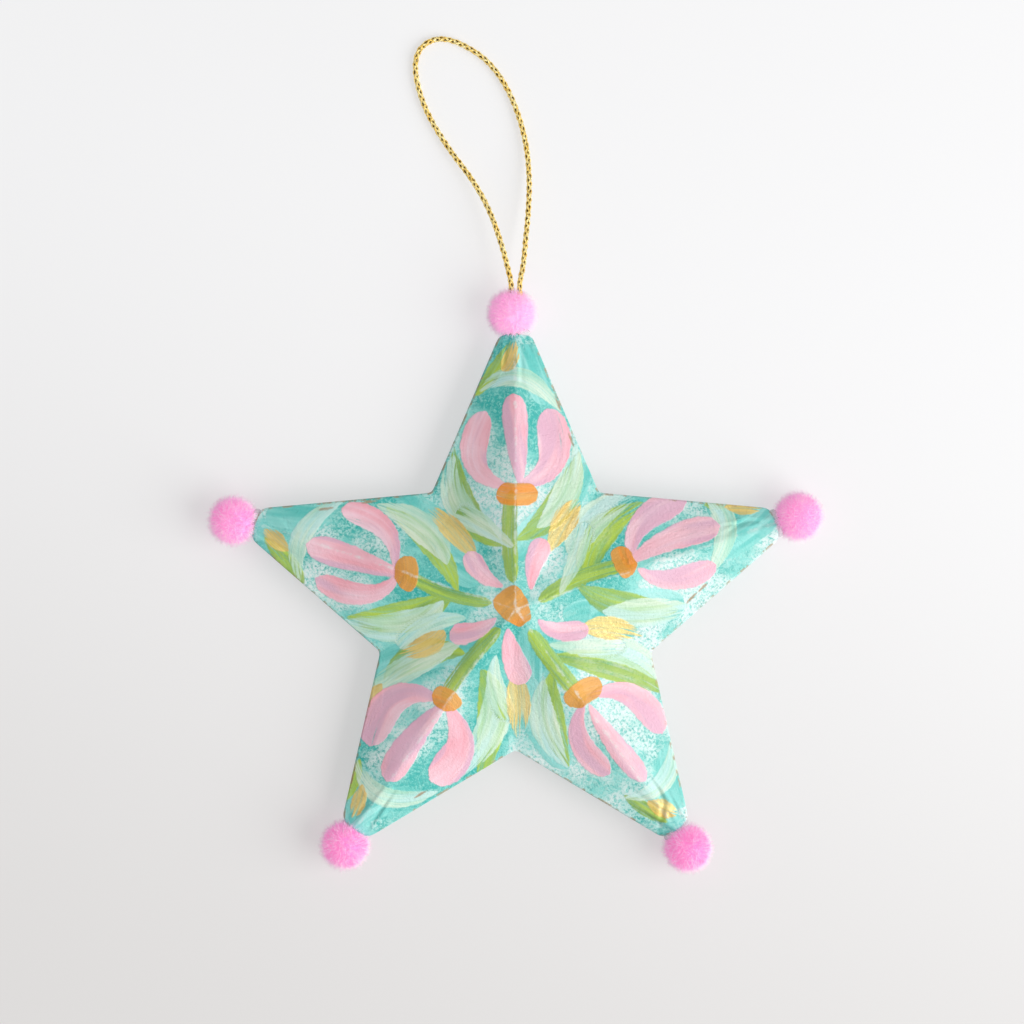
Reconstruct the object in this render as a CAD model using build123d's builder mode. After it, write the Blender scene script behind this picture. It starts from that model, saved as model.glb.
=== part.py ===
from build123d import *
from math import cos, pi, radians, sin, sqrt, tan
import os

# Painted paper star ornament: two pressed half shells glued together at the rim, a pom-pom glued to
# each blunt tip, and a hanging loop of round cord knotted inside the top point. It lies face up on its
# back. Millimetres, +Z up, +Y towards the loop, with the origin where the middle of the back meets the
# surface that the star lies on.

# Star outline
point_count = 5
point_radius = 62.0        # centre to where the two edges of a point would meet
notch_radius = 28.4        # centre to an inner corner
tip_radius = 54.0          # centre to the blunt end of a point

# Pressed shells
front_relief = 8.2         # rise of the front from its rim to its middle
back_relief = 4.6          # drop of the back from its rim to its flat
back_flat_radius = 24.0    # centre to the points of the flat star that the ornament lies on
peak_radius = 1.2          # centre to the points of the small blunt star in the middle of the front
rim_lip = 0.8              # straight wall at the rim of each half
rim_land = 1.6             # width of the glued face of each rim
shell_wall = 1.2
tip_wall = 1.4             # end wall of a blunt tip
seam_thickness = 0.3       # glue line between the two rims

# Pom-poms and the glue that holds them
pom_radius = 5.0
pom_glue_gap = 0.4         # glue between a tip and the nearest point of its pom-pom
glue_radius = 2.6
glue_height = 0.9          # how far the squeezed-out glue climbs from the tip
glue_rounding = 0.2
pile_clearance = 0.05      # between the pile and what is set into it
binding_radius = 2.4       # middle of the thread ring that ties the pile
binding_thread = 0.6       # diameter of that thread

# Cord
cord_diameter = 1.5
strand_gap = 0.1           # between the two strands inside the top point
cord_clearance = 0.1       # round the strands in the tip, the glue and the pile
knot_depth = 16.0          # from the blunt tip in to the middle of the stop knot
knot_length = 4.0
knot_radius = 1.6          # at the ends of the knot and between its wraps
knot_wraps = 3
wrap_bulge = 0.35          # how far a wrap stands out between its edges
cut_end_length = 5.0       # beyond the knot
root_lift = 0.5            # from the top of the pile to where the neck turns sideways
neck_length = 3.4          # from there to where the loop folds
neck_gap = 0.15            # between the strands in the pile and the turning neck
fold_gap = 0.25            # between the neck and the folding loop
pocket_clearance = 0.4     # round the neck in the parted pile
root_half_width = 1.6      # from the middle to a strand where the loop begins
surface_gap = 0.05         # under the cord where it lies

# Route of the loop from its right strand round to its left one: how far to the right of the middle,
# how far out from the fold, and what share of the way from the surface up to the fold.
loop_route = [
    (root_half_width, 0.0, 1.0),
    (2.0, 4.9, 0.86),
    (2.6, 10.7, 0.6),
    (2.9, 18.2, 0.28),
    (2.0, 26.7, 0.06),
    (-1.0, 35.5, 0.0),
    (-5.4, 41.9, 0.0),
    (-11.0, 45.4, 0.0),
    (-15.2, 46.5, 0.0),
    (-18.4, 45.3, 0.0),
    (-20.2, 42.6, 0.0),
    (-20.1, 37.9, 0.0),
    (-17.9, 31.2, 0.0),
    (-13.4, 23.9, 0.07),
    (-8.6, 17.7, 0.28),
    (-5.2, 11.5, 0.58),
    (-3.0, 5.2, 0.85),
    (-root_half_width, 0.0, 1.0),
]
arc_share = 0.45           # share of the shorter run that an arc of the route takes up

# Heights
back_seat = back_relief + rim_lip
rim_middle = back_seat + seam_thickness / 2
front_seat = back_seat + seam_thickness
front_top = front_seat + rim_lip + front_relief

# Every edge of the star is equally far from the centre, so a scaled outline is an inset one.
half_step = pi / point_count
edge_distance = (
    point_radius * notch_radius * sin(half_step)
    / sqrt(point_radius**2 + notch_radius**2 - 2 * point_radius * notch_radius * cos(half_step))
)
land_scale = (edge_distance - rim_land) / edge_distance
peak_scale = peak_radius / point_radius
flat_scale = back_flat_radius / point_radius

# Distances from the centre, out along the top point
cord_radius = cord_diameter / 2
strand_x = (cord_diameter + strand_gap) / 2
pom_offset = pom_glue_gap + pom_radius                    # from the blunt tip
root_y = tip_radius + pom_offset + pom_radius + root_lift
fold_y = root_y + neck_length
neck_reach = strand_x + cord_radius                       # of the turning end of the neck
pocket_radius = neck_reach + pocket_clearance
tail_top_y = root_y - neck_reach - neck_gap
knot_y = tip_radius - knot_depth
passage_width = cord_diameter + 2 * cord_clearance

arms = {
    "top": 90.0,
    "left": 162.0,
    "lower_left": 234.0,
    "lower_right": 306.0,
    "right": 18.0,
}
top_angle = arms["top"]

os.makedirs("parts", exist_ok=True)


def star_outline(scale):
    corners = []
    for corner in range(2 * point_count):
        angle = radians(top_angle) + corner * half_step
        radius = scale * (notch_radius if corner % 2 else point_radius)
        corners.append((radius * cos(angle), radius * sin(angle)))
    return corners


def star_form(low_z, low_scale, high_z, high_scale, blunt_radius):
    # Star-shaped block between two heights, with its points cut off square at blunt_radius.
    with BuildPart() as form:
        with BuildSketch(Plane.XY.offset(low_z)):
            Polygon(*star_outline(low_scale))
        with BuildSketch(Plane.XY.offset(high_z)):
            Polygon(*star_outline(high_scale))
        loft(ruled=True)
        with BuildSketch(Plane.XY.offset(low_z)):
            RegularPolygon(
                blunt_radius, point_count, major_radius=False,
                rotation=top_angle - 180 / point_count,
            )
        extrude(amount=high_z - low_z, mode=Mode.INTERSECT)
    return form.part


def tip_plane(angle):
    # Lies on the blunt end of a point, at the height of the seam, facing outwards.
    outward = Vector(cos(radians(angle)), sin(radians(angle)), 0)
    along_rim = Vector(-sin(radians(angle)), cos(radians(angle)), 0)
    return Plane(origin=outward * tip_radius + Vector(0, 0, rim_middle), x_dir=along_rim, z_dir=outward)


def along_top(distance):
    # Across the top point at a distance from the centre, facing out along the point.
    return tip_plane(top_angle).offset(distance - tip_radius)


def finish(builder, name):
    builder.part.label = name
    export_step(builder.part, f"parts/{name}.step")


# Passage for the two strands, from inside the top point to the pocket in its pom-pom
with BuildPart() as cord_passage:
    with BuildSketch(along_top(tip_radius - 2 * tip_wall)):
        SlotCenterToCenter(2 * strand_x, passage_width)
    extrude(amount=root_y - tip_radius + 2 * tip_wall)

# Front half: a straight lip, then ten facets rising to the middle, hollow inside
front_lip = star_form(front_seat, 1, front_seat + rim_lip, 1, tip_radius)
front_rise = star_form(front_seat + rim_lip, 1, front_top, peak_scale, tip_radius)
front_hollow = star_form(front_seat, land_scale, front_top - shell_wall, peak_scale, tip_radius - tip_wall)
with BuildPart() as front_shell:
    add(front_lip)
    add(front_rise)
    add(front_hollow, mode=Mode.SUBTRACT)
    add(cord_passage.part, mode=Mode.SUBTRACT)
finish(front_shell, "front_shell")

# Back half: the same outline, shallower, with a flat star that the ornament lies on
back_lip = star_form(back_seat, 1, back_seat - rim_lip, 1, tip_radius)
back_drop = star_form(back_seat - rim_lip, 1, 0, flat_scale, tip_radius)
back_hollow = star_form(back_seat, land_scale, shell_wall, flat_scale, tip_radius - tip_wall)
with BuildPart() as back_shell:
    add(back_lip)
    add(back_drop)
    add(back_hollow, mode=Mode.SUBTRACT)
    add(cord_passage.part, mode=Mode.SUBTRACT)
finish(back_shell, "back_shell")

# Glue line between the two rims
seam_outside = star_form(back_seat, 1, front_seat, 1, tip_radius)
seam_inside = star_form(back_seat, land_scale, front_seat, land_scale, tip_radius - tip_wall)
with BuildPart() as seam_glue:
    add(seam_outside)
    add(seam_inside, mode=Mode.SUBTRACT)
    add(cord_passage.part, mode=Mode.SUBTRACT)
finish(seam_glue, "seam_glue")

# Pom-poms: a glue bead on the blunt tip, a ball of pile, and the thread that ties the pile
for arm, angle in arms.items():
    tip = tip_plane(angle)
    pom_middle = tip.offset(pom_offset)

    with BuildPart() as glue_bead:
        with BuildSketch(tip):
            Circle(glue_radius)
        extrude(amount=glue_height)
        outer_edge = glue_bead.edges().filter_by(GeomType.CIRCLE).sort_by(Axis(tip.origin, tip.z_dir))[-1]
        fillet(outer_edge, glue_rounding)
        with Locations(pom_middle):
            Sphere(pom_radius + pile_clearance, mode=Mode.SUBTRACT)
        if arm == "top":
            add(cord_passage.part, mode=Mode.SUBTRACT)
    finish(glue_bead, f"glue_bead_{arm}")

    with BuildPart() as pom_binding:
        with Locations(pom_middle):
            Torus(binding_radius, binding_thread / 2)
    finish(pom_binding, f"pom_binding_{arm}")

    with BuildPart() as pom_pile:
        with Locations(pom_middle):
            Sphere(pom_radius)
            Torus(binding_radius, binding_thread / 2 + pile_clearance, mode=Mode.SUBTRACT)
        if arm == "top":
            add(cord_passage.part, mode=Mode.SUBTRACT)
            with Locations(along_top(root_y)):
                Sphere(pocket_radius, mode=Mode.SUBTRACT)
    finish(pom_pile, f"pom_pile_{arm}")

# Stop knot inside the top point: a barrel of wraps
wrap_length = knot_length / knot_wraps
knot_start = knot_y - knot_length / 2
knot_end = knot_y + knot_length / 2
with BuildPart() as cord_knot:
    with BuildSketch(Plane.XY.offset(rim_middle)):
        with BuildLine():
            Polyline((knot_radius, knot_end), (0, knot_end), (0, knot_start), (knot_radius, knot_start))
            for wrap in range(knot_wraps):
                wrap_start = knot_start + wrap * wrap_length
                ThreePointArc(
                    (knot_radius, wrap_start),
                    (knot_radius + wrap_bulge, wrap_start + wrap_length / 2),
                    (knot_radius, wrap_start + wrap_length),
                )
        make_face()
    revolve(axis=Axis((0, 0, rim_middle), (0, 1, 0)))
finish(cord_knot, "cord_knot")

# Strands from the knot out to the pocket, and the cut ends on the other side of the knot
with BuildPart() as cord_tails:
    with BuildSketch(along_top(knot_end)):
        with Locations((strand_x, 0), (-strand_x, 0)):
            Circle(cord_radius)
    extrude(amount=tail_top_y - knot_end)
finish(cord_tails, "cord_tails")

with BuildPart() as cord_cut_ends:
    with BuildSketch(along_top(knot_start)):
        with Locations((strand_x, 0), (-strand_x, 0)):
            Circle(cord_radius)
    extrude(amount=-cut_end_length)
finish(cord_cut_ends, "cord_cut_ends")

# Neck: the two strands where they leave the pom-pom, spreading towards the loop, round at the root
with BuildPart() as cord_neck:
    for side in (1, -1):
        root = Vector(side * strand_x, root_y, rim_middle)
        fold = Vector(side * root_half_width, fold_y, rim_middle)
        strand = fold - root
        with BuildSketch(Plane(origin=root, z_dir=strand)):
            Circle(cord_radius)
        extrude(amount=strand.length - cord_radius - fold_gap)
        with Locations(root):
            Sphere(cord_radius)
finish(cord_neck, "cord_neck")

# Loop: a tube along straight runs joined by arcs as large as the runs allow, round at both ends
cord_rest = cord_radius + surface_gap
loop_points = [
    Vector(x, fold_y + out, cord_rest + lift * (rim_middle - cord_rest)) for x, out, lift in loop_route
]
loop_runs = [end - start for start, end in zip(loop_points, loop_points[1:])]
loop_radii = [
    arc_share * min(run.length, next_run.length) / tan(radians(run.get_angle(next_run)) / 2)
    for run, next_run in zip(loop_runs, loop_runs[1:])
]
with BuildPart() as cord_loop:
    with BuildLine() as loop_line:
        FilletPolyline(*loop_points, radius=loop_radii)
    with BuildSketch(Plane(origin=loop_points[0], z_dir=loop_runs[0])):
        Circle(cord_radius)
    sweep()
    loop_tube_volume = cord_loop.part.volume
    with Locations(loop_points[0], loop_points[-1]):
        Sphere(cord_radius)
finish(cord_loop, "cord_loop")

loop_length = sum(edge.length for edge in loop_line.edges())
print("loop runs", [round(run.length, 1) for run in loop_runs])
print("loop radii", [round(radius, 1) for radius in loop_radii])
print("loop length", round(loop_length, 1))
print("loop volume", round(loop_tube_volume, 2), "section by length", round(pi * cord_radius**2 * loop_length, 2))
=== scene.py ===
import bpy
import numpy as np
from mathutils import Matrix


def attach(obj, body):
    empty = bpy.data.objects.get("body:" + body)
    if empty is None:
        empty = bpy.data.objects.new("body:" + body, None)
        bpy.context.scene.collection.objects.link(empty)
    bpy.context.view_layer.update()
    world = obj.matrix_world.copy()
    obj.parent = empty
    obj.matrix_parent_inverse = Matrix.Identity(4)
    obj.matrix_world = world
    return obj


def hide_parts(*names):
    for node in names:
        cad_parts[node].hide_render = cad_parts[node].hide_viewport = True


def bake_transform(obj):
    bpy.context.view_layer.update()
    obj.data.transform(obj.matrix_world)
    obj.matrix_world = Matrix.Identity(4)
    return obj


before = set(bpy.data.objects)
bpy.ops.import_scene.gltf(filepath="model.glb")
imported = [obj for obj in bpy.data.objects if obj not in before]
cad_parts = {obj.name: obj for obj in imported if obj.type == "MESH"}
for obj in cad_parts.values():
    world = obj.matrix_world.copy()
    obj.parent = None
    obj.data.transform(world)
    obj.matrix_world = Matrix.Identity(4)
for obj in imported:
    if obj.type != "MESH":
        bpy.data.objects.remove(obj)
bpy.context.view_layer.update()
mm = 0.001
fullTurn = 2 * np.pi
seeded = np.random.default_rng
scene = bpy.context.scene
scene.view_settings.view_transform = "Standard"

# Where the star stands in the CAD frame, in millimetres
star = {
    "armAngles": {"top": 90, "left": 162, "lower_left": 234, "lower_right": 306, "right": 18},
    "pointRadius": 62.0,  # where the edges of a point would meet
    "notchRadius": 28.4,
    "rimMiddle": 5.55,  # height of the seam
}


def srgb(red, green, blue):
    # display colour 0-255 to scene-linear
    c = np.array([red, green, blue]) / 255
    return tuple(np.where(c <= 0.04045, c / 12.92, ((c + 0.055) / 1.055) ** 2.4)) + (1.0,)


def polar(radius, degrees):
    # x and y at a distance and a direction from the middle
    return radius * np.cos(np.radians(degrees)), radius * np.sin(np.radians(degrees))


def armPoint(angle, rho, lateral):
    # x and y of a place rho along a point's direction and lateral to the left of it
    c, s = polar(1, angle)
    return np.array([rho * c - lateral * s, rho * s + lateral * c])


def unit(v):
    # each vector over its own length
    return v / np.linalg.norm(v, axis=-1, keepdims=True)


# The turn from a point to the notch beside it, and the straight edge between them: its slope, the turn of
# its normal from the point's direction, and its distance from the middle
arms = star["armAngles"]
notchTurn = 180 / len(arms)
notchX, notchY = polar(star["notchRadius"], notchTurn)
edgeSlope = notchY / (star["pointRadius"] - notchX)
edgeTurn = 90 - np.degrees(np.arctan(edgeSlope))
edgeDistance = star["pointRadius"] * np.cos(np.radians(edgeTurn))


# Node helpers: each makes one node, or a few, and gives back its output

def wire(tree, socket, value):
    # a link from another socket, or a plain value
    if isinstance(value, bpy.types.NodeSocket):
        tree.links.new(value, socket)
    else:
        socket.default_value = value


def dress(tree, node, inputs):
    # each input, by its name or number, gets its value or its link
    for key, value in inputs.items():
        wire(tree, node.inputs[key], value)


def newNode(tree, kind, inputs, **settings):
    # a shader node of that kind with its settings and inputs
    node = tree.nodes.new("ShaderNode" + kind)
    for name, value in settings.items():
        setattr(node, name, value)
    dress(tree, node, inputs)
    return node


def calc(tree, operation, a, b=0.0, c=0.0, clamp=False):
    # the operation on up to three numbers
    return newNode(tree, "Math", {0: a, 1: b, 2: c}, operation=operation, use_clamp=clamp).outputs[0]


def times(tree, a, b):
    # a times b
    return calc(tree, "MULTIPLY", a, b)


def plus(tree, a, b):
    # a plus b
    return calc(tree, "ADD", a, b)


def timesPlus(tree, a, b, c):
    # a times b, plus c
    return calc(tree, "MULTIPLY_ADD", a, b, c)


def swing(tree, noise, gain):
    # noise about its middle: gain times (noise less a half)
    return times(tree, calc(tree, "SUBTRACT", noise, 0.5), gain)


def ease(tree, value, low, high):
    # 0 below low, 1 above high, smooth between
    inputs = {"Value": value, "From Min": low, "From Max": high}
    return newNode(tree, "MapRange", inputs, interpolation_type="SMOOTHSTEP").outputs["Result"]


def blend(tree, factor, a, b):
    # a where the factor is 0, b where it is 1; a Mix node has its colours at inputs 6 and 7 and output 2
    return newNode(tree, "Mix", {0: factor, 6: a, 7: b}, data_type="RGBA").outputs[2]


def grain(tree, place, scale, detail=2.0, roughness=0.5, distortion=0.0):
    # noise from 0 to 1, about scale blotches to a unit of the place
    inputs = {"Vector": place, "Scale": scale, "Detail": detail, "Roughness": roughness}
    return newNode(tree, "TexNoise", {**inputs, "Distortion": distortion}).outputs["Fac"]


def millimetres(tree, stretch=(1, 1, 1), turn=0.0):
    # the piece's own coordinates in millimetres, stretched and turned about Z if asked
    own = newNode(tree, "TexCoord", {}).outputs["Object"]
    inputs = {"Vector": own, "Scale": [s / mm for s in stretch], "Rotation": (0, 0, np.radians(turn))}
    return newNode(tree, "Mapping", inputs).outputs["Vector"]


def pointValue(tree, name):
    # the value that a point keeps
    return newNode(tree, "Attribute", {}, attribute_name=name).outputs["Fac"]


def fourParts(tree, name):
    # the four values that a point keeps as one colour
    data = newNode(tree, "Attribute", {}, attribute_name=name).outputs
    parts = newNode(tree, "SeparateColor", {0: data["Color"]}).outputs
    return *parts, data["Alpha"]


def vector(tree, x, y, z):
    # three numbers as one place
    return newNode(tree, "CombineXYZ", {0: x, 1: y, 2: z}).outputs[0]


def bump(tree, height, distance, strength=1.0):
    # distance in millimetres
    inputs = {"Height": height, "Distance": distance * mm, "Strength": strength}
    return newNode(tree, "Bump", inputs).outputs["Normal"]


def newMaterial(name, look):
    # its surface shader gets the inputs that the look works out in its tree
    material = bpy.data.materials.new(name)
    material.use_nodes = True
    tree = material.node_tree
    dress(tree, tree.nodes["Principled BSDF"], look(tree))
    return material


# Mesh helpers

def newPiece(name, points, faces, material, smooth=True):
    # points in millimetres, one array row each; faces a list of arrays of quads or triangles
    mesh = bpy.data.meshes.new(name)
    mesh.from_pydata((np.asarray(points) * mm).tolist(), [], sum((f.tolist() for f in faces), []))
    mesh.update()
    mesh.polygons.foreach_set("use_smooth", np.full(len(mesh.polygons), smooth))
    mesh.materials.append(material)
    piece = bpy.data.objects.new(name, mesh)
    scene.collection.objects.link(piece)
    return piece


def pointData(piece, name, values):
    # a per-vertex value, or four of them as a float colour
    values = np.asarray(values, np.float32)
    kind, key = ("FLOAT_COLOR", "color") if values.ndim == 2 else ("FLOAT", "value")
    piece.data.attributes.new(name, kind, "POINT").data.foreach_set(key, values.ravel())


def gridFaces(rows, columns, wrapRows=False):
    # quads between rings of points, one ring to a row, the place in a ring running fastest
    r = np.arange(rows if wrapRows else rows - 1)
    r, c = (a.ravel() for a in np.meshgrid(r, np.arange(columns), indexing="ij"))
    r2, c2 = (r + 1) % rows, (c + 1) % columns
    return np.stack([r * columns + c, r * columns + c2, r2 * columns + c2, r2 * columns + c], 1)


def closedSkin(rows, columns, flip=False):
    # quads between the rings, and a fan at each end to one of the two points that follow them
    count = rows * columns
    c = np.arange(columns)
    after = (c + 1) % columns
    first = np.stack([np.full(columns, count), after, c], 1)
    last = np.stack([np.full(columns, count + 1), count - columns + c, count - columns + after], 1)
    faces = [gridFaces(rows, columns), first, last]
    return [f[:, ::-1] for f in faces] if flip else faces


def placeOnStar(piece, node):
    # the piece stands in for a CAD node and moves with the star
    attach(piece, "star")
    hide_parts(node)


def toMetres(point):
    # millimetres times the length of one
    return [v * mm for v in point]


# Camera: straight down on the star, as in the photograph
view = {
    "centre": (-0.68, 19.12),  # what lies in the middle of the picture
    "frameWidth": 204.8,  # width of the picture at the height of the seam
    "lens": 100.0,
    "sensor": 36.0,
}
cameraData = bpy.data.cameras.new("camera")
cameraData.lens = view["lens"]
cameraData.sensor_width = view["sensor"]
camera = bpy.data.objects.new("camera", cameraData)
cameraDistance = view["frameWidth"] * view["lens"] / view["sensor"]
camera.location = toMetres((*view["centre"], star["rimMiddle"] + cameraDistance))
scene.collection.objects.link(camera)
scene.camera = camera
print("camera set", round(cameraDistance), "mm above the seam")


# Gold cord: flat metallic strands braided over a dark core along the loop's route
cord = {
    "diameter": 1.5,
    "route": [  # from the right strand in the pile, round the loop, back to the left strand
        (0.8, 63.4, 5.55), (0.85, 65.2, 5.55), (1.6, 68.3, 5.55), (2.0, 73.2, 4.89), (2.6, 79.0, 3.65),
        (2.9, 86.5, 2.13), (2.0, 95.0, 1.09), (-1.0, 103.8, 0.8), (-5.4, 110.2, 0.8), (-11.0, 113.7, 0.8),
        (-15.2, 114.8, 0.8), (-18.4, 113.6, 0.8), (-20.2, 110.9, 0.8), (-20.1, 106.2, 0.8),
        (-17.9, 99.5, 0.8), (-13.4, 92.2, 1.13), (-8.6, 86.0, 2.13), (-5.2, 79.8, 3.56), (-3.0, 73.5, 4.84),
        (-1.6, 68.3, 5.55), (-0.85, 65.2, 5.55), (-0.8, 63.4, 5.55),
    ],
    "routeSteps": 24,  # points of the line to each of the route
    "length": 112.0,  # free cord from one short end round to the other
    "strandsEachWay": 3,
    "strandHalfWidth": 0.23,
    "strandHalfThickness": 0.085,
    "braidRadius": 0.42,  # from the cord's middle to a strand's middle
    "weave": 0.085,  # how far a strand rises and dips at a crossing
    "coreRadius": 0.32,
    "pitch": 4.9,  # one full turn of a strand
    "waver": (0.0533, 0.1333),  # radians that a strand strays, least and most
    "waverLengths": (9.7, 4.3, 2.1),
    "seed": 5,
    "ringStep": 0.16,
    "sides": 8,
    "filmRelief": 0.04,
    "paintedGlow": 0.46,  # painted glow, for light that the film throws back
    "rootTop": 66.6,  # the short ends below this make one piece, the loop above another
    "swayBend": ((0, 63.5, 5.55), (0, 66.4, 5.55)),  # where the bend begins and ends
    "flapBend": ((0, 66.7, 5.55), (0, 70.5, 5.55)),
}


def smoothRoute(points):
    # the line of a quadratic NURBS spline with the route as its control points
    curve = bpy.data.curves.new("route", "CURVE")
    curve.dimensions = "3D"
    curve.resolution_u = cord["routeSteps"]
    spline = curve.splines.new("NURBS")
    spline.points.add(len(points) - 1)
    spline.points.foreach_set("co", np.c_[np.array(points) * mm, np.ones(len(points))].ravel())
    spline.order_u = 3
    spline.use_endpoint_u = True
    holder = bpy.data.objects.new("route", curve)
    scene.collection.objects.link(holder)
    bpy.context.view_layer.update()
    mesh = bpy.data.meshes.new_from_object(holder)
    line = np.array([vertex.co for vertex in mesh.vertices]) / mm
    bpy.data.objects.remove(holder)
    bpy.data.meshes.remove(mesh)
    return line


def evenSteps(line, step):
    # the line again with points one step apart, and how far along it each lies
    gaps = np.linalg.norm(np.diff(line, axis=0), axis=1)
    along = np.r_[0, np.cumsum(gaps)]
    even = np.linspace(0, along[-1], int(along[-1] / step) + 1)
    return np.stack([np.interp(even, along, line[:, i]) for i in range(3)], 1), even


def goldCordLook(tree):
    # metallic film wound round each strand: fine slanted filaments, with dark core showing now and then,
    # painted shade where strands dip under others and at their edges, and painted highlights and glow
    along, around, depth, strand = fourParts(tree, "lay")
    slant = plus(tree, times(tree, along, 1.1), times(tree, around, 5.0))
    filament = calc(tree, "SINE", times(tree, slant, fullTurn))
    filament = timesPlus(tree, filament, 0.5, 0.5)
    blotch = grain(tree, vector(tree, times(tree, along, 0.9), times(tree, around, 3.0), 0.0), 1.7, 3.0)
    fleck = ease(tree, plus(tree, times(tree, filament, 0.35), blotch), 0.70, 0.84)
    # the core's own dark brown in the gaps, and painted shade on strands where they dip under others
    coreAndDipShade = ease(tree, depth, 0.76, 0.64)
    # a strand's two edges are shaded by its neighbours
    edge = calc(tree, "ABSOLUTE", calc(tree, "SINE", times(tree, around, fullTurn)))
    shade = times(tree, ease(tree, edge, 0.6, 1.0), 0.5)
    dark = calc(tree, "MAXIMUM", times(tree, fleck, 0.65), calc(tree, "MAXIMUM", coreAndDipShade, shade))
    # painted highlights: each stretch of strand is painted lighter or deeper gold in its own way, as if it
    # caught the light
    paintedGlint = grain(tree, vector(tree, times(tree, along, 1.5), around, times(tree, strand, 5.3)), 1.0, 2.0)
    paintedSparkle = timesPlus(tree, filament, 0.3, times(tree, ease(tree, paintedGlint, 0.38, 0.62), 0.7))
    gold = blend(tree, paintedSparkle, srgb(246, 200, 66), srgb(255, 252, 206))
    paintedGlow = blend(tree, paintedSparkle, srgb(240, 192, 72), srgb(255, 232, 134))
    return {
        "Base Color": blend(tree, dark, gold, srgb(72, 42, 0)),
        "Metallic": timesPlus(tree, dark, -0.15, 0.15),
        "Roughness": timesPlus(tree, dark, 0.3, 0.26),
        "Normal": bump(tree, filament, cord["filmRelief"], 0.6),
        # painted glow in the lit gold, none in the dark places
        "Emission Color": blend(tree, dark, paintedGlow, srgb(0, 0, 0)),
        "Emission Strength": cord["paintedGlow"],
    }


def layStrands():
    # strand k's middle circles the route by pitch, half of the strands each way round, and its radius rises
    # and dips by the cosine of that turn times the strands each way, so that it passes over and under others
    line, along = evenSteps(smoothRoute(cord["route"]), cord["ringStep"])
    tangent = unit(np.gradient(line, axis=0))
    side = unit(np.cross([0, 0, 1], tangent))
    up = np.cross(tangent, side)
    turn = np.linspace(0, fullTurn, cord["sides"], endpoint=False)
    cosine, sine = np.cos(turn)[None, :, None], np.sin(turn)[None, :, None]
    outermost = cord["braidRadius"] + cord["weave"] + cord["strandHalfThickness"]
    rng = seeded(cord["seed"])
    strands = []

    def keep(middle, tube, k):
        # with each point: length along the cord, share round the strand, depth in the cord, strand number
        depth = np.linalg.norm(tube - line[:, None], axis=2) / outermost
        lay = np.broadcast_arrays(along[:, None], turn / fullTurn, depth, k)
        strands.append((middle, tube, np.stack(lay, 2)))

    for way in (1, -1):
        for k in range(cord["strandsEachWay"]):
            phase = fullTurn * (way * along / cord["pitch"] + k / cord["strandsEachWay"])
            for length in cord["waverLengths"]:
                phase += rng.uniform(*cord["waver"]) * np.sin(fullTurn * (along / length + rng.random()))
            outward = np.cos(phase)[:, None] * side + np.sin(phase)[:, None] * up
            crossing = np.cos(fullTurn * cord["strandsEachWay"] * along / cord["pitch"])
            middle = line + (cord["braidRadius"] + way * cord["weave"] * crossing)[:, None] * outward
            across = np.cross(outward, unit(np.gradient(middle, axis=0)))
            tube = middle[:, None] + (cord["strandHalfThickness"] * cosine * outward[:, None]
                                      + cord["strandHalfWidth"] * sine * across[:, None])
            keep(middle, tube, k)
    keep(line, line[:, None] + cord["coreRadius"] * (cosine * side[:, None] - sine * up[:, None]), 0)
    return line, strands


def makeCord(name, spans, strands, material):
    # the strands between the given ring numbers, each closed at both ends
    points, faces, lays, count = [], [], [], 0
    for first, last in spans:
        for middle, tube, lay in strands:
            points += [tube[first:last].reshape(-1, 3), middle[[first, last - 1]]]
            lays += [lay[first:last].reshape(-1, 4), lay[[first, last - 1], 0]]
            faces += [f + count for f in closedSkin(last - first, cord["sides"], flip=True)]
            count += (last - first) * cord["sides"] + 2
    piece = newPiece(name, np.concatenate(points), faces, material)
    pointData(piece, "lay", np.concatenate(lays))
    return piece


goldCord = newMaterial("gold_cord", goldCordLook)
cordLine, strands = layStrands()
rings = len(cordLine)
rootRings = int(np.argmax(cordLine[:, 1] > cord["rootTop"]))
tailRings = rings - int(np.argmax(cordLine[::-1, 1] > cord["rootTop"]))
cordRoot = makeCord("cord_root", [(0, rootRings + 1), (tailRings - 1, rings)], strands, goldCord)
cordPiece = makeCord("hanging_cord", [(rootRings, tailRings)], strands, goldCord)
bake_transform(cordRoot)
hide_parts("cord_neck")
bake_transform(cordPiece)
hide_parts("cord_loop")
print("cord made", len(cordPiece.data.polygons) + len(cordRoot.data.polygons), "faces")


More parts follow.
